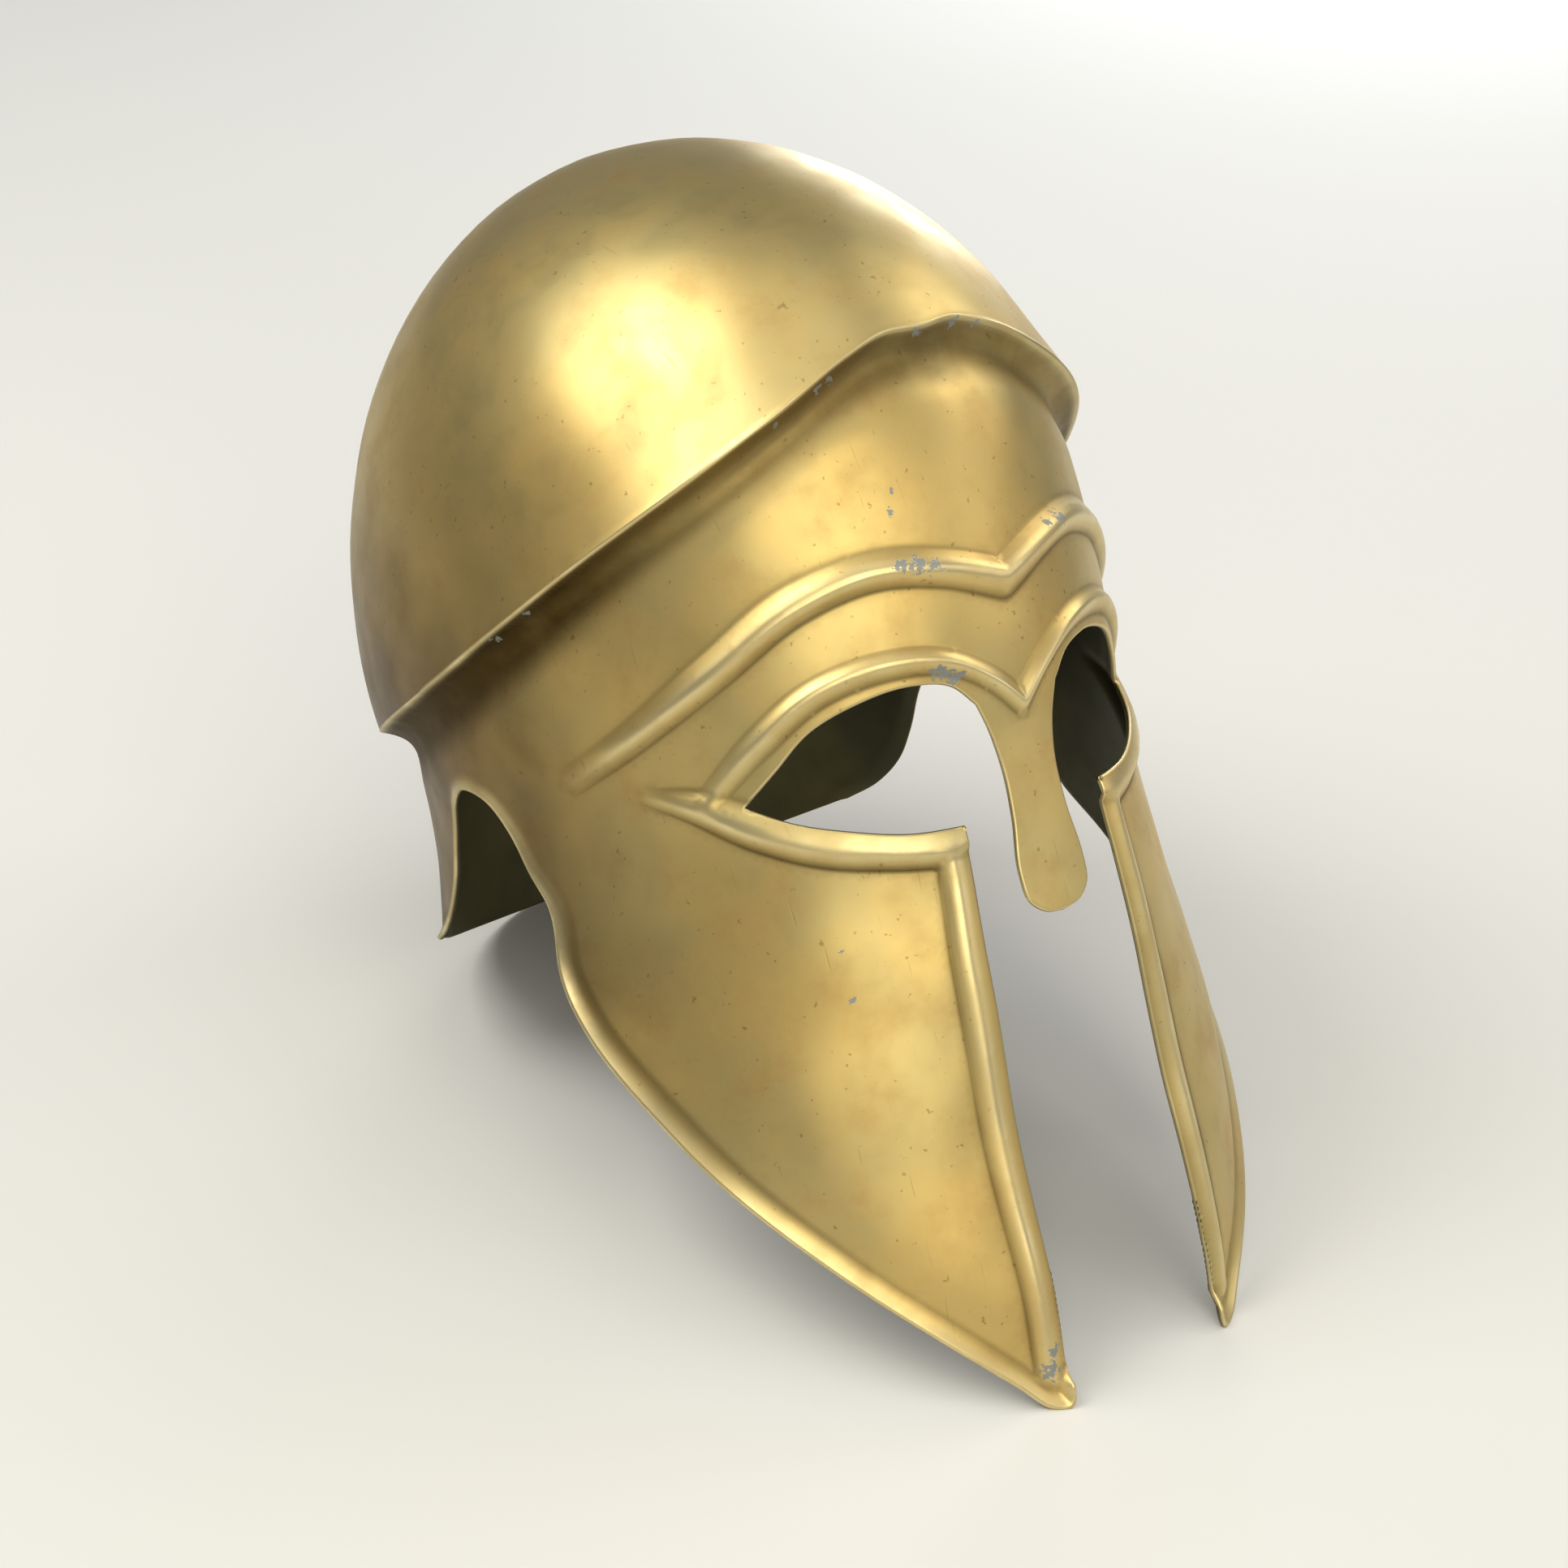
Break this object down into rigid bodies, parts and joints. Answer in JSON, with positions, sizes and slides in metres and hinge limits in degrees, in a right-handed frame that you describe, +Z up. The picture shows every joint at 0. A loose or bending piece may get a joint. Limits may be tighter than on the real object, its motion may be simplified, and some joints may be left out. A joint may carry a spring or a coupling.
{
  "type": "corinthian helmet",
  "caption": "Brass Corinthian helmet with an overhanging crown, raised brow line, nose guard, long pointed cheek plates and a short neck guard, resting on its cheek tips.",
  "frame": {"origin": "centre of the bounding box's foot, on the ground that the cheek tips and neck guard rest on", "axes": "-Y is the way the face looks, +X the wearer's left, +Z up"},
  "size_m": [0.191, 0.3006, 0.2473],
  "materials": {
    "brass": "satin, lightly worn"
  },
  "bodies": {
    "root": {"shell": "brass"}
  },
  "joints": []
}
